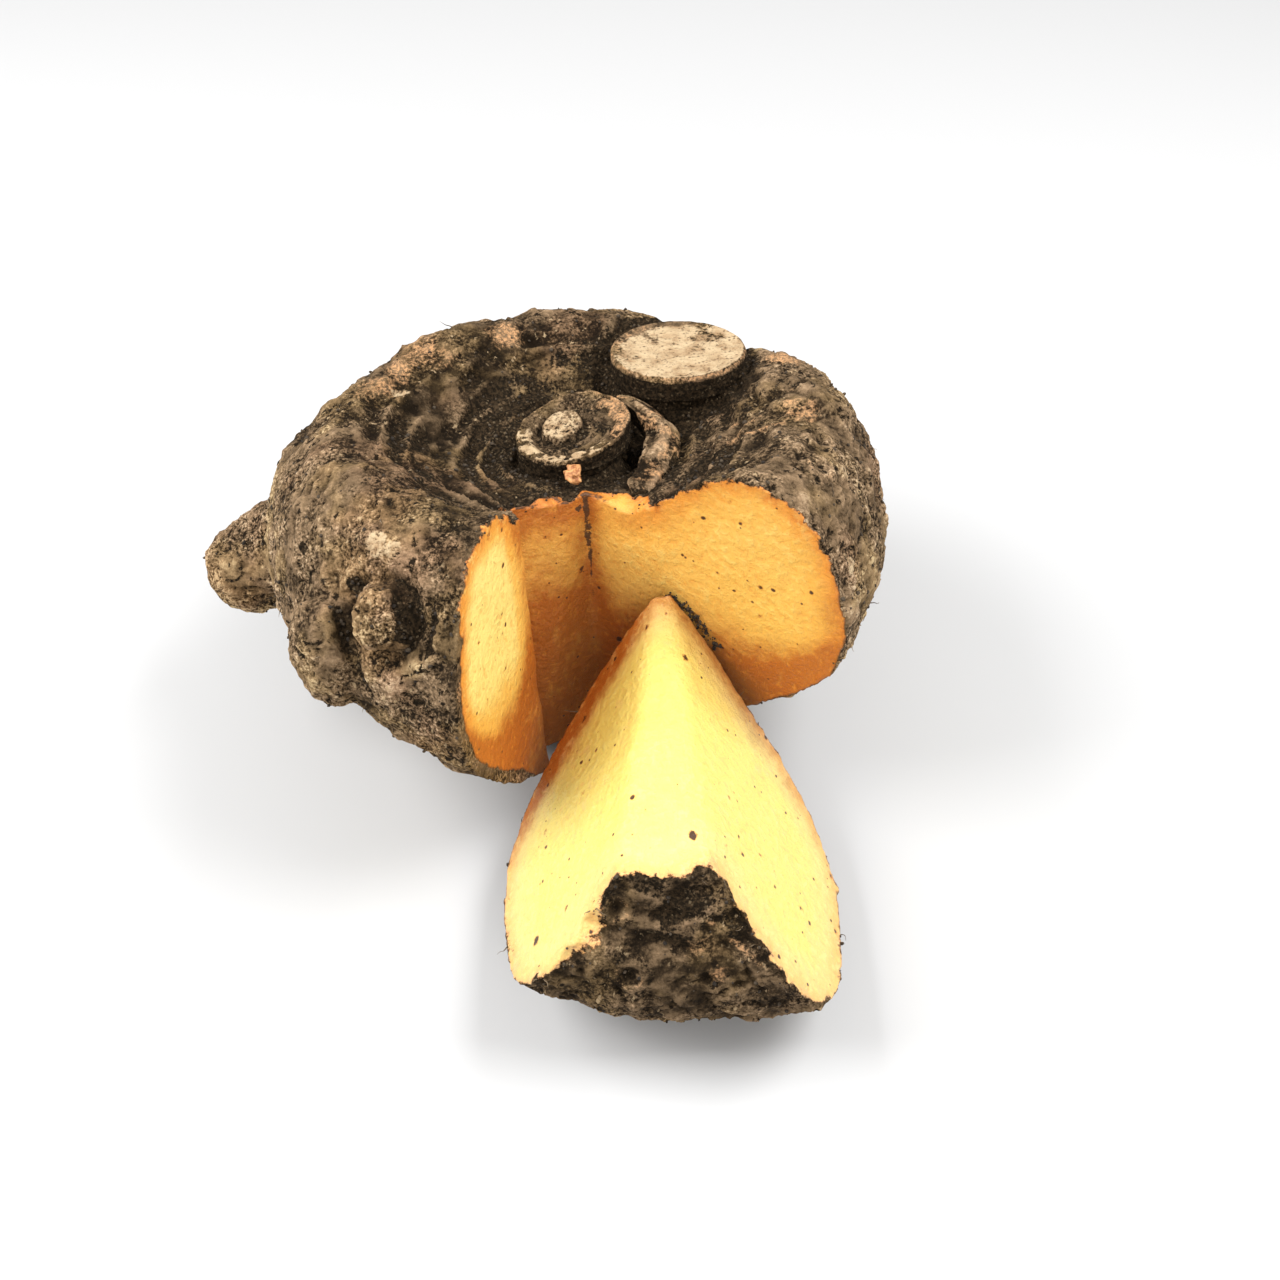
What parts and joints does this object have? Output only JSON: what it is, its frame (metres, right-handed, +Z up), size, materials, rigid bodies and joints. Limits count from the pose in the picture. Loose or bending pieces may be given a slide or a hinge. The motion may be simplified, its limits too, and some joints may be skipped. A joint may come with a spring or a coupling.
{
  "type": "yam",
  "caption": "Cut elephant-foot yam: a rough round corm with a ringed hollow top, stalk scar, side tuber and a notch of orange flesh, and the wedge from it laid in front.",
  "frame": {"origin": "middle of the flat spot under the corm, on the surface that the yam lies on", "axes": "+Z up, -Y towards the side with the notch and the wedge, +X to the right seen from there"},
  "size_m": [0.253, 0.2762, 0.157],
  "materials": {
    "bark": "rough, matt grey-brown skin with soil on it; orange-yellow flesh where the notch is cut",
    "flesh": "damp yellow cut flesh; rough grey-brown skin on the outer side"
  },
  "bodies": {
    "root": {"yam_corm": "bark", "yam_wedge": "flesh"}
  },
  "joints": []
}
